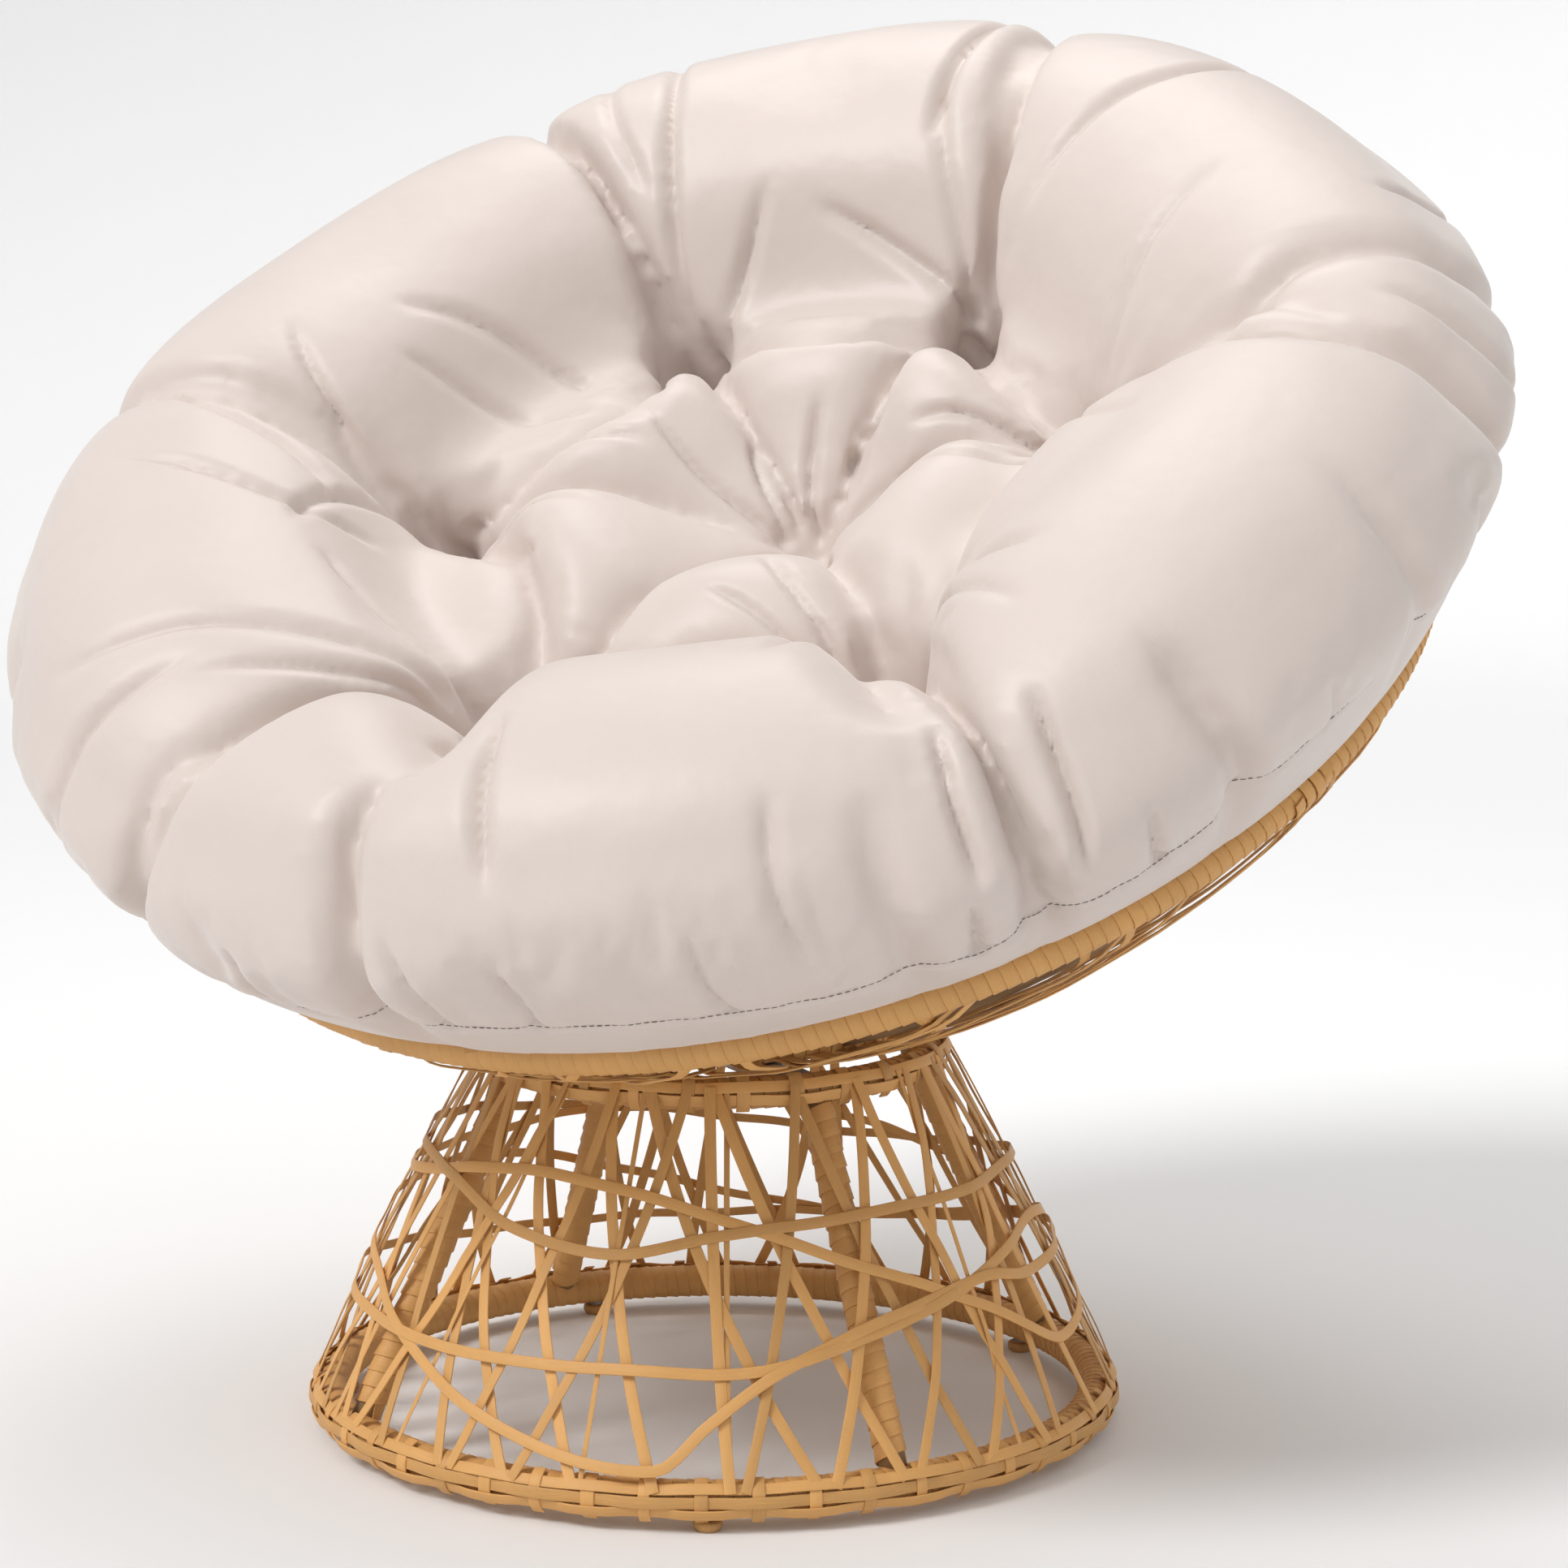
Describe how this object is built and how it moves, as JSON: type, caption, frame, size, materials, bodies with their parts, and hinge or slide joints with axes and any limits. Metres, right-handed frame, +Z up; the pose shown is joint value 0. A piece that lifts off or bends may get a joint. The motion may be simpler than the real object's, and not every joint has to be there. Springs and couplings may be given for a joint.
{
  "type": "papasan chair",
  "caption": "Round bowl armchair: a tufted pad in a tilted wicker-wrapped bowl that turns on a plate over an open woven drum base.",
  "frame": {"origin": "centre of the overall box, on the floor", "axes": "+Z up; +X along the widest extent, the sitter's left; -Y where the sitter faces"},
  "size_m": [1.0828, 0.9624, 1.0133],
  "materials": {
    "painted_steel": "satin dark brown powder coat",
    "plated_steel": "zinc plated, dull",
    "resin_wicker": "flat honey-coloured woven strip with a soft sheen",
    "glide_nylon": "moulded nylon",
    "cushion_fabric": "pale beige close-woven cloth with a faint satin sheen"
  },
  "bodies": {
    "base": {"lower_ring_tube": "painted_steel", "upper_ring_tube": "painted_steel", "lower_ring_wrap": "resin_wicker", "upper_ring_wrap": "resin_wicker", "leg_tube_1": "painted_steel", "leg_tube_2": "painted_steel", "leg_tube_3": "painted_steel", "leg_tube_4": "painted_steel", "leg_wrap_1": "resin_wicker", "leg_wrap_2": "resin_wicker", "leg_wrap_3": "resin_wicker", "leg_wrap_4": "resin_wicker", "glide_1": "glide_nylon", "glide_2": "glide_nylon", "glide_3": "glide_nylon", "glide_4": "glide_nylon", "glide_insert_1": "plated_steel", "glide_insert_2": "plated_steel", "glide_insert_3": "plated_steel", "glide_insert_4": "plated_steel", "hub_cross": "painted_steel", "swivel_lower_plate": "plated_steel", "swivel_rivet": "plated_steel", "lower_bolt_1": "plated_steel", "lower_bolt_2": "plated_steel", "lower_bolt_3": "plated_steel", "lower_bolt_4": "plated_steel", "drum_strands_1": "resin_wicker", "drum_strands_2": "resin_wicker", "drum_hoop_waist": "resin_wicker", "drum_hoop_low": "resin_wicker", "drum_hoop_falling": "resin_wicker", "drum_hoop_rising": "resin_wicker"},
    "ball_cage": {"ball_cage": "plated_steel"},
    "seat": {"swivel_upper_plate": "plated_steel", "upper_bolt_1": "plated_steel", "upper_bolt_2": "plated_steel", "upper_bolt_3": "plated_steel", "upper_bolt_4": "plated_steel", "seat_cross": "painted_steel", "bowl_ring_tube": "painted_steel", "bowl_ring_wrap": "resin_wicker", "bowl_rib_1": "painted_steel", "bowl_rib_2": "painted_steel", "bowl_rib_3": "painted_steel", "bowl_rib_4": "painted_steel", "bowl_rib_5": "painted_steel", "bowl_rib_6": "painted_steel", "bowl_rib_7": "painted_steel", "bowl_rib_8": "painted_steel", "rim_tube": "painted_steel", "rim_wrap": "resin_wicker", "bowl_strands_1": "resin_wicker", "bowl_strands_2": "resin_wicker"},
    "cushion": {"cushion": "cushion_fabric"}
  },
  "joints": [
    {"name": "seat_turn", "type": "hinge", "parent": "base", "child": "seat", "pos_m": [-0.00498, -0.05525, 0.28], "axis": [0, 0, 1], "continuous": true},
    {"name": "cage_turn", "type": "hinge", "parent": "base", "child": "ball_cage", "pos_m": [-0.00498, -0.05525, 0.28], "axis": [0, 0, 1], "continuous": true},
    {"name": "cushion_lift", "type": "slide", "parent": "seat", "child": "cushion", "axis": [0, -0.503, 0.8643], "range_m": [0, 0.45]}
  ],
  "couplings": [
    {"joint": "cage_turn", "follows": "seat_turn", "ratio": 0.5}
  ]
}
